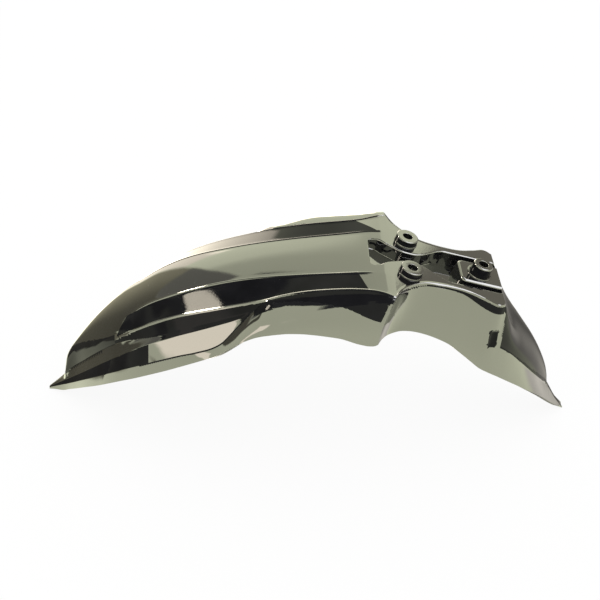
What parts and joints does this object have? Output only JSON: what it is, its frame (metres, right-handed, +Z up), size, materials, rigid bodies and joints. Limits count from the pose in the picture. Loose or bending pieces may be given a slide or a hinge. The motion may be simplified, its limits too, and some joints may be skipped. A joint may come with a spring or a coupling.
{
  "type": "motorcycle front mudguard",
  "caption": "Moulded motorcycle front mudguard with a pointed domed nose, faceted sides, a sloping mounting deck with a trough and raised bolt bosses, and a tapering tail.",
  "frame": {"origin": "middle of the length and width, at the height of the nose tip and tail tip, which are level with each other", "axes": "X runs from the nose to the tail, Y across the guard to its left-hand side, Z up; the guard is symmetric about the XZ plane"},
  "size_m": [0.54, 0.16, 0.1957],
  "materials": {
    "gloss_black_plastic": "high gloss, moulded in colour"
  },
  "bodies": {
    "root": {"mudguard": "gloss_black_plastic"}
  },
  "joints": []
}
